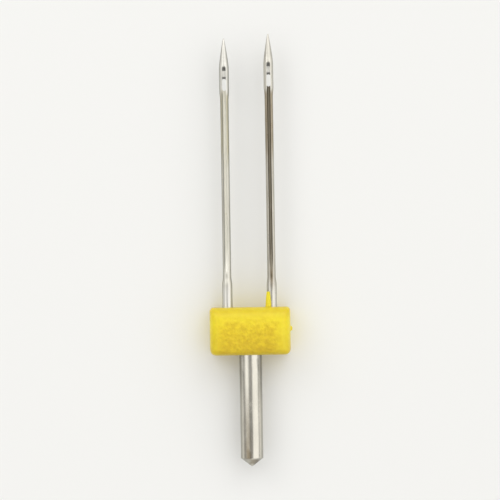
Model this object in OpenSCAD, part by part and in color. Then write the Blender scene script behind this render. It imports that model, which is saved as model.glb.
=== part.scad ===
// Twin needle for a household sewing machine: a round shank with a flat on its back,
// a moulded crossbar, and two needles that stand side by side in it.
// It lies on the crossbar's flat back. X runs across the needles, Y from the shank's
// butt to the needle points, and Z up, out of the front that carries the long grooves.
// The origin is the middle of the crossbar's back, on the surface that it lies on.

/* [Needles] */
// Distance between the centres of the two needles
needle_gauge = 4; // [3.2:0.1:8]
// How far the right needle stands out of the crossbar
right_len = 24.6; // [20:0.1:32]
// How much shorter the left needle stands
left_drop = 0.35; // [0:0.05:1.5]
// Diameter of the plain blade
blade_d = 0.75; // [0.65:0.01:0.86]
// Diameter of the thick root beside the crossbar
root_d = 0.91; // [0.87:0.01:1.3]
// Length of the thick root outside the crossbar
root_len = 2; // [0.5:0.1:5]
// Length of the taper from the root down to the blade
root_taper = 0.8; // [0.2:0.1:2]

/* [Point and eye] */
// Length of the point, from the tip to the full width at the eye
point_len = 2.65; // [1.8:0.05:3.2]
// Radius of the tip
tip_r = 0.05; // [0.03:0.01:0.12]
// Fullness of the point, from 1 for a straight cone to 2 for a round bullet
point_fullness = 1.25; // [1:0.05:2]
// Diameter over the thickened walls of the eye
eye_wall_d = 0.88; // [0.8:0.01:1.1]
// Length over which the eye walls narrow down to the blade
eye_wall_taper = 0.9; // [0.4:0.1:2]
// Distance from the tip to the near end of the eye
eye_from_tip = 3.65; // [3.4:0.05:5]
// Length of the eye
eye_len = 1.1; // [0.7:0.05:1.8]
// Width of the eye
eye_w = 0.36; // [0.3:0.01:0.5]

/* [Grooves and scarf] */
// Width of the thread grooves
groove_w = 0.32; // [0.2:0.01:0.4]
// Depth of the long front groove below the surface of the blade
long_groove_depth = 0.3; // [0.2:0.01:0.36]
// Distance from the crossbar to the start of the long groove
long_groove_from = 3; // [2:0.1:8]
// Length of the ramp at the start of the long groove
long_groove_ramp = 2.2; // [1:0.1:4]
// How far the long groove runs on past the eye, towards the point
groove_lead = 0.65; // [0.2:0.05:0.9]
// Length of the ramp that ends the groove there
lead_ramp = 0.5; // [0.3:0.05:1]
// Depth of the short back groove below the surface of the blade
short_groove_depth = 0.24; // [0.1:0.01:0.28]
// Length of the short groove, which is centred on the eye
short_groove_len = 3; // [2:0.1:4]
// Length of the hollow scarf above the eye, on the back
scarf_len = 4.2; // [2.5:0.1:6]
// Depth of the scarf at its middle
scarf_depth = 0.2; // [0.1:0.01:0.26]
// Distance that the scarf reaches down past the far end of the eye
scarf_lap = 0.2; // [0:0.05:0.5]

/* [Shank] */
// Diameter of the shank
shank_d = 2.02; // [1.6:0.01:2.4]
// Thickness of the shank across its flat
shank_across_flat = 1.65; // [1.3:0.01:1.95]
// How far the shank stands out of the crossbar
shank_len = 10; // [8:0.1:14]
// Distance from the end of the flat to the crossbar
flat_gap = 0.3; // [0.1:0.05:2]
// Length of the slope at the end of the flat
flat_ramp = 0.5; // [0.2:0.05:1.5]
// Angle between the cone of the butt and the shank's axis, in degrees
butt_angle = 52; // [35:1:70]
// Radius of the rounded butt tip
butt_tip_r = 0.25; // [0.1:0.01:0.5]
// Diameter of the neck that the moulding locks into
neck_d = 1.5; // [1:0.05:1.55]
// Length of that neck
neck_len = 1.1; // [0.5:0.1:1.8]

/* [Crossbar] */
// Length of the crossbar along the needles
bar_len = 4.3; // [3.5:0.1:7]
// Plastic outside each needle root, to the ends of the crossbar
bar_end_wall = 1.17; // [0.6:0.01:2.5]
// Plastic in front of the shank and behind it
bar_cover = 0.74; // [0.5:0.01:1.5]
// Plastic past the buried end of the shank
shank_end_wall = 1.3; // [0.6:0.1:1.7]
// Plastic past the buried ends of the needles
needle_end_wall = 1.3; // [0.6:0.1:2.5]
// Fall of the crowned front from its middle to its two long edges
crown_drop = 0.12; // [0.05:0.01:0.3]
// Radius of the front edge on the needle side
front_needle_r = 1.05; // [0.2:0.05:1.1]
// Radius of the front edge on the shank side
front_shank_r = 0.6; // [0.2:0.05:1.1]
// Radius of the front edges at the two ends
front_end_r = 0.95; // [0.3:0.05:1.1]
// Radius of the edges round the flat back
back_r = 0.25; // [0.1:0.01:0.5]
// Radius of the upright corners on the needle side
corner_needle_r = 0.3; // [0.1:0.05:1]
// Radius of the upright corners on the shank side
corner_shank_r = 0.5; // [0.1:0.05:1]
// Length of the sliver of flash that climbs the right needle
flash_len = 1.4; // [0.3:0.1:1.8]
// Radius of the sliver of flash where it leaves the crossbar
flash_r = 0.27; // [0.15:0.01:0.4]
// Radius of the sliver of flash at its tip
flash_tip_r = 0.12; // [0.02:0.01:0.2]
// Angle of the sliver round the root, from the inner side towards the front, in degrees
flash_angle = 50; // [0:5:90]
// Radius of the broken gate on the right end
gate_r = 0.22; // [0.1:0.01:0.4]
// How far the broken gate stands proud
gate_out = 0.2; // [0.05:0.01:0.4]
// Distance from the crossbar's middle to the gate, towards the needles
gate_y = 0.2; // [-1:0.05:1]

/* [Hidden] */

$fn = 96;
// Facets of the large circle that crowns the front
crown_fn = 720;
// Steps along each curved stretch of a revolved outline, and along a round nose
steps = 8;
nose_steps = 4;
// Polar angle at which the needle's round tip meets its flank, in degrees
tip_sweep = 75;
// Overshoot that lets a cutter pass clear through a face
over = 1;

blade_r = blade_d / 2;
root_r = root_d / 2;
eye_wall_r = eye_wall_d / 2;
shank_r = shank_d / 2;
left_len = right_len - left_drop;

bar_w = needle_gauge + root_d + 2 * bar_end_wall;
bar_t = shank_d + 2 * bar_cover;
axis_z = bar_t / 2;
needle_side = bar_len / 2;
shank_side = -bar_len / 2;
needle_buried = bar_len - needle_end_wall;
shank_buried = bar_len - shank_end_wall;

steel = "silver";
yellow = "gold";

// Smooth step from 0 to 1
function ease(s) = (1 - cos(180 * s)) / 2;

// Radius of the arc that falls by depth over run from its level middle
function arc_r(run, depth) = (run * run + depth * depth) / (2 * depth);

// Points on the round nose of a revolved part, from its axis to polar angle last,
// each as a radius and a distance back from the nose
function nose(r, last) = [
    for (i = [0:nose_steps])
        let (a = last * i / nose_steps)
        [r * sin(a), r * (1 - cos(a))]
];

// Rise of the point's flank from 0 to 1, which levels out as it meets the eye walls
function flank(s) = 1 - pow(1 - s, point_fullness);

// Half outline of the point: the tip's round nose, then the flank
function point_outline(len) = [
    for (p = nose(tip_r, tip_sweep)) [p[0], len - p[1]],
    for (i = [1:steps])
        let (s = i / steps)
        [tip_r + (eye_wall_r - tip_r) * flank(s), len - point_len * s]
];

// A smooth shoulder in a half outline, from radius r0 at y0 to radius r1 at y1
function shoulder(r0, y0, r1, y1) = [
    for (i = [0:steps])
        let (s = i / steps)
        [r0 + (r1 - r0) * ease(s), y0 + (y1 - y0) * s]
];

// A revolved solid along +Y, from a half outline of [radius, distance along Y]
module turned(outline) {
    rotate([-90, 0, 0])
        rotate_extrude()
            polygon(outline);
}

// A needle before its grooves are cut, with y = 0 at the face of the crossbar
module needle_blank(len) {
    eye_end = len - eye_from_tip - eye_len;
    turned(concat(
        point_outline(len),
        shoulder(eye_wall_r, eye_end, blade_r, eye_end - eye_wall_taper),
        shoulder(blade_r, root_len + root_taper, root_r, root_len),
        [[root_r, -needle_buried], [0, -needle_buried]]
    ));
}

// A round-floored cutter that is open upwards, centred on its own axis and running
// along Y from -back to ahead
module groove_bar(back, ahead) {
    r = groove_w / 2;
    translate([0, -back, 0]) {
        rotate([-90, 0, 0])
            cylinder(r = r, h = back + ahead);
        translate([-r, 0, 0])
            cube([groove_w, back + ahead, over]);
    }
}

// The side of a mitre plane that side points to, 1 for +Y and -1 for -Y
module mitre_side(side) {
    reach = 2 * right_len;
    translate([-over, side > 0 ? 0 : -reach, -reach])
        cube([2 * over, reach, 2 * reach]);
}

// The ramp at one end of a groove, from a mitre with the level stretch up to the surface
module groove_ramp(side, tilt, len) {
    intersection() {
        rotate([side * tilt, 0, 0])
            groove_bar(side > 0 ? over : len, side > 0 ? len : over);
        rotate([side * tilt / 2, 0, 0])
            mitre_side(side);
    }
}

// A groove with a level floor from y0 to y1 at height floor_z, and a ramp at each end
// that climbs by tilt0 and tilt1 degrees for about len0 and len1
module groove(y0, y1, floor_z, tilt0, len0, tilt1, len1) {
    axis = floor_z + groove_w / 2;
    intersection() {
        translate([0, y0, axis])
            groove_bar(over, y1 - y0 + over);
        translate([0, y0, axis])
            rotate([-tilt0 / 2, 0, 0])
                mitre_side(1);
        translate([0, y1, axis])
            rotate([tilt1 / 2, 0, 0])
                mitre_side(-1);
    }
    translate([0, y0, axis])
        groove_ramp(-1, tilt0, len0);
    translate([0, y1, axis])
        groove_ramp(1, tilt1, len1);
}

// The long groove on the front, from near the root to past the eye
module long_groove(len) {
    floor_z = blade_r - long_groove_depth;
    groove(
        long_groove_from + long_groove_ramp, len - eye_from_tip + groove_lead, floor_z,
        atan(long_groove_depth / long_groove_ramp), long_groove_ramp + over,
        atan((eye_wall_r - floor_z) / lead_ramp), lead_ramp + over
    );
}

// A hollow across the back that a wheel of the given width cuts, len long and depth
// deep, with its middle at y
module wheel_cut(y, len, depth, width) {
    r = arc_r(len / 2, depth);
    translate([-width / 2, y, depth - blade_r - r])
        rotate([0, 90, 0])
            cylinder(r = r, h = width);
}

// The short groove on the back, cut by a thin wheel on both sides of the eye
module short_groove(len) {
    wheel_cut(len - eye_from_tip - eye_len / 2, short_groove_len, short_groove_depth, groove_w);
}

// The eye, an oblong hole from front to back
module eye(len) {
    r = eye_w / 2;
    y1 = len - eye_from_tip - r;
    y0 = len - eye_from_tip - eye_len + r;
    for (y = [y0, y1])
        translate([0, y, -over])
            cylinder(r = r, h = 2 * over);
    translate([-r, y0, -over])
        cube([eye_w, y1 - y0, 2 * over]);
}

// The scarf, a shallow hollow that a broad wheel grinds on the back above the eye
module scarf(len) {
    eye_end = len - eye_from_tip - eye_len;
    wheel_cut(eye_end + scarf_lap - scarf_len / 2, scarf_len, scarf_depth, 2 * over);
}

// One needle standing len out of the crossbar, at side -1 for left or 1 for right
module needle(side, len) {
    color(steel)
        place_needle(side)
            difference() {
                needle_blank(len);
                long_groove(len);
                short_groove(len);
                eye(len);
                scarf(len);
            }
}

module place_needle(side) {
    translate([side * needle_gauge / 2, needle_side, axis_z])
        children();
}

module needle_left() {
    needle(-1, left_len);
}

module needle_right() {
    needle(1, right_len);
}

// The turned shank: round butt tip, cone, clamped length, neck and buried head
module shank_blank() {
    last = 90 - butt_angle;
    tip = shank_side - shank_len;
    cone_from = tip + butt_tip_r * (1 - cos(last));
    cone_to = cone_from + (shank_r - butt_tip_r * sin(last)) / tan(butt_angle);
    turned(concat(
        [for (p = nose(butt_tip_r, last)) [p[0], tip + p[1]]],
        [
            [shank_r, cone_to],
            [shank_r, shank_side],
            [neck_d / 2, shank_side],
            [neck_d / 2, shank_side + neck_len],
            [shank_r, shank_side + neck_len],
            [shank_r, shank_side + shank_buried],
            [0, shank_side + shank_buried]
        ]
    ));
}

// The ground flat on the back of the clamped length, ending in a slope
module shank_flat() {
    flat_z = -(shank_across_flat - shank_r);
    butt = shank_side - shank_len - over;
    flat_end = shank_side - flat_gap;
    rotate([90, 0, 90])
        linear_extrude(2 * (shank_d + over), center = true)
            polygon([
                [butt, -shank_d],
                [butt, flat_z],
                [flat_end - flat_ramp, flat_z],
                [flat_end, -shank_r],
                [flat_end, -shank_d]
            ]);
}

// The same flat on the buried head, which keeps the shank from turning in the plastic
module head_flat() {
    flat_z = -(shank_across_flat - shank_r);
    translate([-shank_d, shank_side + neck_len / 2, flat_z - shank_d])
        cube([2 * shank_d, bar_len, shank_d]);
}

module shank_solid() {
    translate([0, 0, axis_z])
        difference() {
            shank_blank();
            shank_flat();
            head_flat();
        }
}

module shank() {
    color(steel)
        shank_solid();
}

// What rounding a corner to radius r takes off it: all that lies outside the circle
// about centre, between the directions from and to
module corner_cut(centre, r, from, to) {
    reach = 2 * r;
    middle = (from + to) / 2;
    translate(centre)
        difference() {
            polygon([
                [0, 0],
                reach * [cos(from), sin(from)],
                reach * [cos(middle), sin(middle)],
                reach * [cos(to), sin(to)]
            ]);
            circle(r = r);
        }
}

// A w by h rectangle, centred in its width and standing on y = 0, with its own radius
// at each corner: low left, low right, high right and high left
module round_plate(w, h, radii) {
    corners = [[-1, 0], [1, 0], [1, 1], [-1, 1]];
    difference() {
        translate([-w / 2, 0])
            square([w, h]);
        for (i = [0:3])
            let (r = radii[i], c = corners[i])
            corner_cut([c[0] * (w / 2 - r), c[1] * (h - 2 * r) + r], r, 90 * i - 180, 90 * i - 90);
    }
}

// The crossbar's side view, with y to the right: a flat back, and a crowned front
// that runs smoothly into its two rounded edges
module side_view() {
    crown_r = arc_r(bar_len / 2, crown_drop);
    crown_z = bar_t - crown_r;
    difference() {
        intersection() {
            translate([-bar_len / 2, 0])
                square([bar_len, bar_t]);
            translate([0, crown_z])
                circle(r = crown_r, $fn = crown_fn);
        }
        for (edge = [[0, front_needle_r], [1, front_shank_r]])
            let (
                r = edge[1],
                y = bar_len / 2 - r,
                rise = sqrt(pow(crown_r - r, 2) - y * y)
            )
            mirror([edge[0], 0]) {
                corner_cut([y, crown_z + rise], r, 0, atan(rise / y));
                corner_cut([bar_len / 2 - back_r, back_r], back_r, -90, 0);
            }
    }
}

// The crossbar's three outlines, crossed
module bar_block() {
    intersection() {
        translate([0, shank_side, 0])
            linear_extrude(bar_t)
                round_plate(bar_w, bar_len,
                    [corner_shank_r, corner_shank_r, corner_needle_r, corner_needle_r]);
        rotate([90, 0, 0])
            linear_extrude(bar_len + 2 * over, center = true)
                round_plate(bar_w, bar_t, [back_r, back_r, front_end_r, front_end_r]);
        rotate([90, 0, 90])
            linear_extrude(bar_w + 2 * over, center = true)
                side_view();
    }
}

// The tapered sliver of flash on the inner front of the right needle's root
module flash() {
    place_needle(1)
        rotate([0, flash_angle, 0])
            translate([-root_r, 0, 0])
                rotate([-90, 0, 0]) {
                    cylinder(r1 = flash_r, r2 = flash_tip_r, h = flash_len);
                    translate([0, 0, -flash_r])
                        cylinder(r = flash_r, h = flash_r);
                }
}

// The stub left where the crossbar was broken from its runner
module gate() {
    translate([bar_w / 2 - gate_r, gate_y, axis_z])
        rotate([0, 90, 0])
            cylinder(r = gate_r, h = gate_r + gate_out);
}

module crossbar() {
    color(yellow)
        difference() {
            union() {
                bar_block();
                flash();
                gate();
            }
            shank_solid();
            place_needle(-1)
                needle_blank(left_len);
            place_needle(1)
                needle_blank(right_len);
        }
}

shank();
crossbar();
needle_left();
needle_right();
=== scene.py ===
"""Looks for the twin needle: finishes for the shank, the crossbar and the two needles,
a pale floor, soft studio light, and a camera that looks straight down."""

import math

import bpy
from mathutils import Matrix, Vector


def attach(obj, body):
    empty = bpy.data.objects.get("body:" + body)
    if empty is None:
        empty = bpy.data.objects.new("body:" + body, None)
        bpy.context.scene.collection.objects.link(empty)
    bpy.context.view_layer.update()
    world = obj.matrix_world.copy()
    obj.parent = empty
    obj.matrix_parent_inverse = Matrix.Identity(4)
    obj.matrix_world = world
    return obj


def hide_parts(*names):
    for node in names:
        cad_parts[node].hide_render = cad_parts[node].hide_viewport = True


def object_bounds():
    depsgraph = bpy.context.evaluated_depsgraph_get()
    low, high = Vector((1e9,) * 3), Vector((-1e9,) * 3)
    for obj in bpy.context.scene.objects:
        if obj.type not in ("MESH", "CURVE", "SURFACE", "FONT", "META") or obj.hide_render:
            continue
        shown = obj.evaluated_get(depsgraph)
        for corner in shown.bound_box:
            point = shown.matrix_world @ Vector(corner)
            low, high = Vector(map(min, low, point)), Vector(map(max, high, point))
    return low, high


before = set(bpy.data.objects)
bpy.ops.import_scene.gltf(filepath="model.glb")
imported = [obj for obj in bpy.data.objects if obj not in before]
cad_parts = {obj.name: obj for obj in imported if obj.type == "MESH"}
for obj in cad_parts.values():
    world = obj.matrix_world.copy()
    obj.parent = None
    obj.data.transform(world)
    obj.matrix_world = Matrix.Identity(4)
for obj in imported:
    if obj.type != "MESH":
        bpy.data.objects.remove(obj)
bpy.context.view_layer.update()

MM = 0.001


# Sizes taken from the CAD nodes, in millimetres

def box(name):
    """The low and the high corner of a CAD node."""
    places = [vertex.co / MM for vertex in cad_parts[name].data.vertices]
    return [Vector([pick(place[axis] for place in places) for axis in range(3)])
            for pick in (min, max)]


def axis_and_radius(name):
    """Axis in X and radius of a round steel piece."""
    low, high = box(name)
    return (low.x + high.x) / 2, (high.x - low.x) / 2


# Axis in X and radius of each steel piece that the crossbar grips, and their axes' height
GRIPPED = [axis_and_radius(name) for name in ("needle_left", "shank", "needle_right")]
AXIS_Z = sum(corner.z for corner in box("needle_right")) / 2
# Height of the crossbar's front, and the places in Y of the faces that the shank and the
# needles leave, which are as far from the origin as each other
BAR_FRONT = box("crossbar")[1].z
SHANK_FACE = box("crossbar")[0].y
NEEDLE_FACE = -SHANK_FACE
# Angle of the sliver of flash round the right needle's root, from the root's inner side
# towards the front, and the sliver's start and tip in Y
FLASH_ANGLE = math.radians(50)
FLASH_FROM = NEEDLE_FACE + 0.05
FLASH_TIP = box("crossbar")[1].y


# Node helpers

def new_material(name):
    """A material with an empty node tree, its tree and a shader linked to its output."""
    material = bpy.data.materials.new(name)
    material.use_nodes = True
    tree = material.node_tree
    tree.nodes.clear()
    output = tree.nodes.new("ShaderNodeOutputMaterial")
    shader = tree.nodes.new("ShaderNodeBsdfPrincipled")
    tree.links.new(shader.outputs["BSDF"], output.inputs["Surface"])
    return material, tree, shader


def node(tree, kind, inputs=None, **settings):
    """A node of that kind, with its settings, and its inputs set or linked."""
    made = tree.nodes.new("ShaderNode" + kind)
    for key, value in settings.items():
        setattr(made, key, value)
    for key, value in (inputs or {}).items():
        if isinstance(value, bpy.types.NodeSocket):
            tree.links.new(value, made.inputs[key])
        else:
            made.inputs[key].default_value = value
    return made


def object_coords(tree, scale):
    """The place on the piece in millimetres, stretched by scale along X, Y and Z."""
    coords = node(tree, "TexCoord")
    mapping = node(tree, "Mapping", {"Vector": coords.outputs["Object"]})
    mapping.inputs["Scale"].default_value = [s / MM for s in scale]
    return mapping.outputs["Vector"]


def place_in_mm(tree):
    """X, Y and Z of the point in the part's own frame, in millimetres."""
    axes = node(tree, "SeparateXYZ", {"Vector": object_coords(tree, (1, 1, 1))})
    return [axes.outputs[axis] for axis in "XYZ"]


def noise(tree, scale, detail=3, roughness=0.5):
    """Noise whose cells are about 1 mm across before scale stretches them."""
    made = node(tree, "TexNoise", {"Vector": object_coords(tree, scale)})
    made.inputs["Scale"].default_value = 1
    made.inputs["Detail"].default_value = detail
    made.inputs["Roughness"].default_value = roughness
    return made.outputs["Fac"]


def ramp(tree, factor, stops):
    """A colour ramp over factor, with stops of (position, colour)."""
    made = node(tree, "ValToRGB", {"Fac": factor})
    elements = made.color_ramp.elements
    while len(elements) < len(stops):
        elements.new(0.5)
    for element, (position, colour) in zip(elements, stops):
        element.position = position
        element.color = (*colour, 1)
    return made.outputs["Color"]


def bump(tree, height, distance_mm, below=None):
    """The surface normal with height as relief, on top of the relief below."""
    made = node(tree, "Bump", {"Height": height, "Strength": 1})
    made.inputs["Distance"].default_value = distance_mm * MM
    if below is not None:
        tree.links.new(below, made.inputs["Normal"])
    return made.outputs["Normal"]


def math_node(tree, operation, *values):
    """The result of a Math node on values, which are sockets or numbers."""
    return node(tree, "Math", dict(enumerate(values)), operation=operation).outputs["Value"]


def product(tree, *values):
    """All the values multiplied together."""
    result = values[0]
    for value in values[1:]:
        result = math_node(tree, "MULTIPLY", result, value)
    return result


def between(tree, factor, low, high):
    """low where factor is 0 and high where it is 1."""
    return math_node(tree, "MULTIPLY_ADD", factor, high - low, low)


def smooth(tree, value, start, end):
    """0 where value is at start, 1 where it is at end, and a smooth step between them."""
    step = node(tree, "MapRange", {"Value": value}, interpolation_type="SMOOTHSTEP")
    step.inputs["From Min"].default_value = start
    step.inputs["From Max"].default_value = end
    return step.outputs["Result"]


def band(tree, value, rise, fall):
    """A factor that goes from 0 to 1 over the stretch rise and back to 0 over fall."""
    return product(tree, smooth(tree, value, *rise), smooth(tree, value, *reversed(fall)))


def shaded(tree, colour, factor):
    """colour multiplied by factor."""
    made = node(tree, "VectorMath", {0: colour, "Scale": factor}, operation="SCALE")
    return made.outputs["Vector"]


def blended(tree, colour, factor, other, blend_type="MIX"):
    """colour where factor is 0 and blended with the colour other where it is 1."""
    made = node(tree, "Mix", {"Factor": factor}, data_type="RGBA", blend_type=blend_type)
    tree.links.new(colour, made.inputs["A"])
    if isinstance(other, tuple):
        made.inputs["B"].default_value = (*other, 1)
    else:
        tree.links.new(other, made.inputs["B"])
    return made.outputs["Result"]


def painted_darker(tree, colour, factor, dark_paint):
    """colour multiplied by a darker colour, as far as factor says; used for painted shade and painted
    dark reflections.
    """
    return blended(tree, colour, factor, dark_paint, "MULTIPLY")


# Steel

def steel(name, tint, roughness, streaks, side_shade):
    """Plated steel with polishing streaks along Y, clouding, smudges and dark specks, and with
    painted shade that darkens its sides, which face neither up nor down, as far as the side
    level given. Returns the material, its tree and shader, its colour and its roughness."""
    material, tree, shader = new_material(name)
    shader.inputs["Metallic"].default_value = 1
    clouds = noise(tree, (0.8, 0.3, 0.8), detail=4)
    clouded = tuple(0.84 * channel for channel in tint)
    colour = ramp(tree, clouds, [(0.32, clouded), (0.66, tint)])

    coords = node(tree, "TexCoord")
    facing = node(tree, "SeparateXYZ", {"Vector": coords.outputs["Normal"]}).outputs["Z"]
    # Painted shade: sides that face neither up nor down are painted darker.
    level = smooth(tree, math_node(tree, "ABSOLUTE", facing), 0.42, 0.76)
    specks = smooth(tree, noise(tree, (3.6, 2.8, 3.6), detail=2), 0.72, 0.78)
    colour = shaded(tree, colour, product(
        tree, between(tree, level, side_shade, 1), between(tree, specks, 1, 0.6)))

    streak = noise(tree, streaks, detail=4, roughness=0.6)
    smudge = noise(tree, (0.9, 0.5, 0.9), detail=3, roughness=0.6)
    rough = between(tree, streak, 0.65 * roughness, 1.3 * roughness)
    rough = math_node(tree, "ADD", rough, product(tree, smooth(tree, smudge, 0.45, 0.75), 0.1))
    rough = math_node(tree, "ADD", rough, product(tree, specks, 0.2))

    fine = bump(tree, streak, 0.002)
    pits = bump(tree, specks, -0.004, below=fine)
    waves = bump(tree, noise(tree, (0.8, 0.55, 0.8), detail=1), 0.012, below=pits)
    tree.links.new(waves, shader.inputs["Normal"])
    return material, tree, shader, colour, rough


def shank_steel():
    """Satin steel of the shank. A dark line on its left, wider towards the butt, and a dark
    patch on the front of the butt's cone are painted dark reflections. Near the crossbar the
    shank is painted lighter as painted light, and its flanks there are painted shade."""
    material, tree, shader, colour, rough = steel(
        "shank_steel", tint=(0.82, 0.785, 0.69), roughness=0.22, streaks=(14, 0.5, 14),
        side_shade=0.52)
    x, y, z = place_in_mm(tree)
    wander = between(tree, noise(tree, (1.6, 0.8, 1.6), detail=2), -0.25, 0.25)
    across = math_node(tree, "ADD", x, wander)
    from_butt = math_node(tree, "SUBTRACT", y, box("shank")[0].y)
    from_bar = math_node(tree, "SUBTRACT", SHANK_FACE, y)

    # Painted dark reflection: a dark line on the left, wider towards the butt, and a dark patch on the
    # butt's cone.
    line = product(
        tree, band(tree, from_butt, (0.55, 0.75), (1.55, 7.65)),
        band(tree, across, (-0.85, -0.35), (-0.25, 0.1)),
        between(tree, smooth(tree, from_butt, 1.95, 1.15), 0.75, 1),
        smooth(tree, z, AXIS_Z, AXIS_Z + 0.4))
    cone = product(
        tree, band(tree, from_butt, (0.05, 0.3), (0.55, 0.7)),
        band(tree, across, (-0.35, -0.05), (0.5, 0.8)), 0.7)
    painted_dark_band = math_node(tree, "ADD", line, cone)
    colour = painted_darker(tree, colour, painted_dark_band, (0.4, 0.355, 0.29))

    # Painted light: the shank gets lighter near the crossbar.
    painted_bar_light = smooth(tree, from_bar, 2.35, 0.05)
    colour = shaded(tree, colour, between(tree, painted_bar_light, 1, 1.07))
    # Painted shade: the flanks get darker beside the crossbar.
    flanks = product(
        tree, smooth(tree, math_node(tree, "ABSOLUTE", across), 0.5, 0.8),
        smooth(tree, from_bar, 4.85, 0.85))
    colour = shaded(tree, colour, between(tree, flanks, 1, 0.58))
    rough = math_node(tree, "ADD", rough, product(tree, painted_dark_band, 0.06))
    tree.links.new(colour, shader.inputs["Base Color"])
    tree.links.new(rough, shader.inputs["Roughness"])
    return material


def needle_steel(side, tint, roughness, side_shade, dark_paint, groove_painted_tone, groove_rough,
                 lip_painted_light, painted_run_out):
    """Satin steel of the needle on that side. Its blade is painted darker, as painted dark
    reflection, most in front near the eye, and its point is painted darker as painted shade.
    The front groove's colour is painted light where pale and painted shade where dark, and it is
    rougher by groove_rough; the groove's matt lead past the eye is painted pale as painted light, with
    painted shade at the scoop at its end and at the eye's rim. The groove's left lip is painted
    lighter above a lip level of 1 and darker below it. If asked, painted shade runs from the groove to
    the crossbar."""
    material, tree, shader, colour, rough = steel(
        "needle_steel_" + side, tint, roughness, (20, 0.8, 20), side_shade)
    name = "needle_" + side
    x, y, z = place_in_mm(tree)
    across = math_node(tree, "SUBTRACT", x, axis_and_radius(name)[0])
    up = math_node(tree, "SUBTRACT", z, AXIS_Z)
    radius = math_node(tree, "SQRT", math_node(
        tree, "ADD", product(tree, across, across), product(tree, up, up)))
    from_tip = math_node(tree, "SUBTRACT", box(name)[1].y, y)
    front = smooth(tree, up, -0.15, -0.05)

    wander = between(tree, noise(tree, (2.5, 0.7, 2.5), detail=2), -0.9, 0.9)
    along = math_node(tree, "ADD", from_tip, wander)
    darkest_front = product(tree, smooth(tree, along, 12, 9.5), smooth(tree, up, -0.2, 0.1))
    # Painted dark reflection: the blade is painted darker, most in front near the eye.
    blade = product(
        tree, band(tree, along, (4.6, 5.6), (22, 23.2)), between(tree, darkest_front, 0.3, 1))
    colour = painted_darker(tree, colour, blade, dark_paint)
    # Painted shade: the point is painted darker.
    point = smooth(tree, from_tip, 2.7, 1.7)
    colour = shaded(tree, colour, between(tree, point, 1, 0.84))
    # Painted shade where the groove's run-out would be, from the groove to the crossbar.
    if painted_run_out:
        from_bar = math_node(tree, "SUBTRACT", y, NEEDLE_FACE)
        run_out_shade = product(
            tree, band(tree, from_bar, (0.95, 2.85), (4.65, 5.25)),
            smooth(tree, up, 0.15, 0.3),
            smooth(tree, math_node(tree, "ABSOLUTE", across), 0.18, 0.07))
        colour = painted_darker(tree, colour, run_out_shade, (0.36, 0.31, 0.24))

    sunk = smooth(tree, radius, 0.36, 0.32)
    uneven = between(tree, noise(tree, (6, 1.2, 6), detail=3), 0.75, 1.2)
    # The groove's colour is painted light on a pale groove and painted shade on a dark one.
    groove = product(tree, sunk, front, smooth(tree, from_tip, 4.5, 4.7), uneven)
    colour = blended(tree, colour, groove, groove_painted_tone)
    # Painted highlight on the groove's left lip where its level is above 1, painted shade where below.
    lip = product(
        tree, band(tree, across, (-0.27, -0.21), (-0.15, -0.11)), front,
        band(tree, from_tip, (4.5, 5.2), (20, 21.5)))
    colour = shaded(tree, colour, between(tree, lip, 1, lip_painted_light))
    # Painted light: the groove's lead past the eye is painted pale.
    lead = product(tree, sunk, band(tree, from_tip, (2.3, 2.45), (4.5, 4.7)))
    colour = blended(tree, colour, lead, (0.92, 0.91, 0.88))
    # Painted shade at the scoop's end and at the rim of the eye.
    scoop = band(tree, from_tip, (2.3, 2.45), (2.88, 2.98))
    rim = band(tree, from_tip, (3.45, 3.52), (3.65, 3.75))
    dark = product(tree, sunk, math_node(tree, "MAXIMUM", scoop, rim))
    colour = shaded(tree, colour, between(tree, dark, 1, 0.32))

    rough = math_node(tree, "ADD", rough, product(tree, groove, groove_rough))
    rough = math_node(tree, "ADD", rough, product(tree, lead, 0.35))
    tree.links.new(colour, shader.inputs["Base Color"])
    tree.links.new(rough, shader.inputs["Roughness"])
    return material


def paint(name, material):
    """Gives a CAD node its finish."""
    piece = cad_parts[name]
    piece.data.materials.clear()
    piece.data.materials.append(material)


# The crossbar

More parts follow.
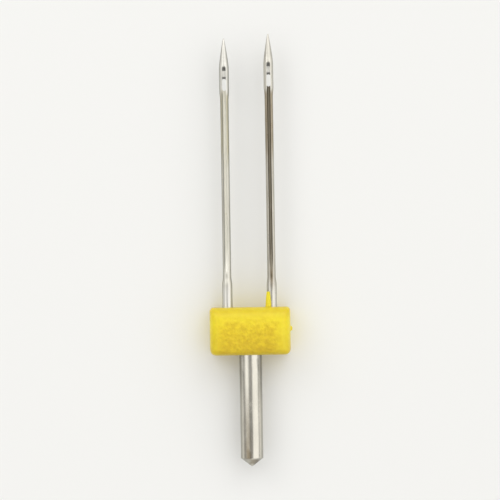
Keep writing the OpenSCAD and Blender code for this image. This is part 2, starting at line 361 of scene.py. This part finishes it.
def crossbar_plastic():
    """Yellow moulded plastic: smooth glossy borders round a matt, finely grained middle,
    with painted shade that darkens it towards the shank and along the needles' edge."""
    material, tree, shader = new_material("crossbar_plastic")
    x, y, z = place_in_mm(tree)
    wander = between(tree, noise(tree, (1.1, 1.1, 1.1), detail=2), -0.5, 0.5)
    across = math_node(tree, "ADD", x, wander)
    along = math_node(tree, "ADD", y, wander)
    middle = product(
        tree, band(tree, across, (-3.4, -2.1), (1.8, 3)),
        band(tree, along, (-2.7, -1.4), (0.2, 1.5)),
        smooth(tree, z, BAR_FRONT - 0.5, BAR_FRONT - 0.2))

    blotches = noise(tree, (2.3, 2.3, 2.3), detail=3, roughness=0.5)
    border = ramp(tree, blotches, [(0.32, (0.85, 0.68, 0.012)), (0.68, (0.905, 0.75, 0.02))])
    grained = ramp(tree, blotches, [(0.36, (0.73, 0.525, 0.005)), (0.64, (0.88, 0.68, 0.012))])
    colour = blended(tree, border, middle, grained)
    # Painted shade: darker towards the shank and along the needles' edge.
    shank_half = product(tree, smooth(tree, along, 0.8, -1.4), 0.6)
    shank_edge = product(tree, smooth(tree, along, -1.4, -2.1), 0.8)
    needle_edge = product(
        tree, smooth(tree, along, 1, 1.8),
        smooth(tree, y, NEEDLE_FACE + 0.15, NEEDLE_FACE), 0.55)
    painted_shade = math_node(tree, "ADD", math_node(tree, "ADD", shank_half, shank_edge), needle_edge)
    colour = painted_darker(tree, colour, painted_shade, (0.82, 0.75, 0.66))
    tree.links.new(colour, shader.inputs["Base Color"])

    shader.inputs["Subsurface Weight"].default_value = 0.3
    shader.inputs["Subsurface Radius"].default_value = (1, 0.7, 0.1)
    shader.inputs["Subsurface Scale"].default_value = 0.5 * MM
    grain = noise(tree, (11, 11, 11), detail=3)
    rough = math_node(tree, "ADD", between(tree, grain, 0.28, 0.44), product(tree, middle, 0.14))
    tree.links.new(rough, shader.inputs["Roughness"])
    pebbles = product(tree, noise(tree, (3, 3, 3), detail=2), between(tree, middle, 0.12, 1))
    relief = bump(tree, pebbles, 0.13, below=bump(tree, grain, 0.01))
    tree.links.new(relief, shader.inputs["Normal"])
    return material


def clamp(value):
    return min(1, max(0, value))


def bake(piece):
    """Applies the modifiers of a piece to its mesh."""
    graph = bpy.context.evaluated_depsgraph_get()
    mesh = bpy.data.meshes.new_from_object(piece.evaluated_get(graph), depsgraph=graph)
    piece.modifiers.clear()
    piece.data = mesh


def soften(piece, rounds, weight):
    """Smooths a mesh for so many rounds, each vertex as far as weight says of its place."""
    group = piece.vertex_groups.new(name="soft")
    for vertex in piece.data.vertices:
        group.add([vertex.index], weight(*vertex.co), "REPLACE")
    smoothing = piece.modifiers.new("soften", "SMOOTH")
    smoothing.factor = 0.5
    smoothing.iterations = rounds
    smoothing.vertex_group = group.name
    bake(piece)
    piece.vertex_groups.clear()


def off_the_steel(x, y, z):
    """0 at the steel that the crossbar grips and 1 away from it, but low on the flash,
    which is too thin for more."""
    gap = min(math.hypot(x - axis_x, z - AXIS_Z) - radius for axis_x, radius in GRIPPED)
    return (0.2 if y > FLASH_FROM else 1) * clamp((gap - 0.06) / 0.25)


def near_the_front(x, y, z):
    """1 at the crossbar's front, and 0 from 1.1 mm behind it."""
    return clamp((z - (BAR_FRONT - 1.1)) / 0.5)


def fill_out_flash(mesh):
    """Widens the sliver of flash away from its own axis, most at its tip, but leaves it
    tight on the needle's root."""
    root_x, root_r = GRIPPED[-1]
    flash_x = root_x - root_r * math.cos(FLASH_ANGLE)
    flash_z = AXIS_Z + root_r * math.sin(FLASH_ANGLE)
    for vertex in mesh.vertices:
        x, y, z = vertex.co
        if y > FLASH_FROM:
            gap = math.hypot(x - root_x, z - AXIS_Z) - root_r
            growth = 0.15 + 0.4 * (y - FLASH_FROM) / (FLASH_TIP - FLASH_FROM)
            growth *= clamp(gap / 0.05)
            vertex.co.x += growth * (x - flash_x)
            vertex.co.z += growth * (z - flash_z)


def soft_crossbar(material):
    """The crossbar with the soft edges of a moulding: the solid remeshed finely, then
    smoothed away from the steel that it grips, and more so along the front's corners."""
    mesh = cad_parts["crossbar"].data.copy()
    mesh.transform(Matrix.Scale(1 / MM, 4))
    piece = bpy.data.objects.new("crossbar_moulding", mesh)
    bpy.context.scene.collection.objects.link(piece)
    remesh = piece.modifiers.new("remesh", "REMESH")
    remesh.mode = "VOXEL"
    remesh.voxel_size = 0.055
    bake(piece)

    soften(piece, 30, off_the_steel)
    fill_out_flash(piece.data)
    soften(piece, 110, near_the_front)

    piece.data.transform(Matrix.Scale(MM, 4))
    piece.data.materials.clear()
    piece.data.materials.append(material)
    piece.data.polygons.foreach_set("use_smooth", [True] * len(piece.data.polygons))
    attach(piece, "root")
    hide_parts("crossbar")


# Floor, light and camera, in metres

def make_floor():
    """A plain pale floor, level with the crossbar's flat back."""
    bpy.ops.mesh.primitive_plane_add(size=8)
    floor = bpy.context.object
    floor.name = "floor"
    material, tree, shader = new_material("floor")
    shader.inputs["Base Color"].default_value = (0.88, 0.88, 0.865, 1)
    shader.inputs["Roughness"].default_value = 0.8
    shader.inputs["Specular IOR Level"].default_value = 0.2
    floor.data.materials.append(material)


def soft_box(name, place, target):
    """A rectangular lamp at place, aimed at target, about as bright as the studio round it."""
    width, height, radiance = 0.2, 0.16, 1
    data = bpy.data.lights.new(name, "AREA")
    data.shape = "RECTANGLE"
    data.size, data.size_y = width, height
    data.energy = radiance * math.pi * width * height
    lamp = bpy.data.objects.new(name, data)
    lamp.location = place
    lamp.rotation_euler = (Vector(target) - Vector(place)).to_track_quat("-Z", "Y").to_euler()
    bpy.context.scene.collection.objects.link(lamp)


def studio_sky(tree):
    """Brightness of the studio by direction: brighter towards the points, dark near the
    horizon, most of all on the left, and with a dim patch overhead where the camera is."""
    coords = node(tree, "TexCoord")
    axes = node(tree, "SeparateXYZ", {"Vector": coords.outputs["Generated"]})
    x, y, z = (axes.outputs[axis] for axis in "XYZ")
    height = math_node(tree, "MAXIMUM", z, 0.03)
    across = math_node(tree, "DIVIDE", x, height)
    along = math_node(tree, "DIVIDE", y, height)
    dim = product(
        tree, band(tree, across, (-0.62, -0.3), (0.12, 0.34)),
        band(tree, along, (-0.32, -0.14), (0.1, 0.28)))
    slope = math_node(tree, "MULTIPLY_ADD", x, 0.04, 1.12)
    slope = math_node(tree, "MULTIPLY_ADD", y, 0.2, slope)
    high = smooth(tree, math_node(tree, "MULTIPLY_ADD", x, 0.12, z), 0.25, 0.5)
    return product(tree, slope, between(tree, high, 0.42, 1), between(tree, dim, 1, 0.26))


def light_scene(centre):
    """A soft studio all round, and two soft boxes beyond the points."""
    world = bpy.data.worlds.new("studio")
    bpy.context.scene.world = world
    world.use_nodes = True
    tree = world.node_tree
    tree.nodes.clear()
    background = node(tree, "Background", {"Color": (1, 0.995, 0.98, 1), "Strength": studio_sky(tree)})
    node(tree, "OutputWorld", {"Surface": background.outputs["Background"]})
    soft_box("key", (0.14, 0.26, 0.26), centre)
    soft_box("fill", (-0.2, 0.22, 0.2), centre)


def make_camera(centre, length):
    """A long lens straight above the part, turned a little as the photograph has it."""
    data = bpy.data.cameras.new("camera")
    camera = bpy.data.objects.new("camera", data)
    height, fill, lean = 0.4, 0.86, math.radians(0.9)
    data.lens = data.sensor_width * height * fill / length
    data.clip_start = 0.01
    camera.location = (centre[0], centre[1], height)
    camera.rotation_euler = (0, 0, -lean)
    bpy.context.scene.collection.objects.link(camera)
    bpy.context.scene.camera = camera


low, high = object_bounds()
middle = (low + high) / 2
make_floor()
light_scene((0, middle[1], 0))
make_camera(middle, high[1] - low[1])

paint("shank", shank_steel())
# Left needle: pale groove painted light, dull lip painted shade. Right needle: dark groove and run-out
# painted shade, bright lip a painted highlight.
paint("needle_left", needle_steel(
    "left", tint=(0.94, 0.92, 0.85), roughness=0.34, side_shade=0.42,
    dark_paint=(0.77, 0.74, 0.61), groove_painted_tone=(0.93, 0.915, 0.85), groove_rough=0.4,
    lip_painted_light=0.55, painted_run_out=False))
paint("needle_right", needle_steel(
    "right", tint=(0.86, 0.83, 0.74), roughness=0.3, side_shade=0.6,
    dark_paint=(0.62, 0.55, 0.46), groove_painted_tone=(0.27, 0.24, 0.185), groove_rough=0.15,
    lip_painted_light=1.1, painted_run_out=True))
soft_crossbar(crossbar_plastic())

bpy.context.scene.view_settings.view_transform = "Standard"
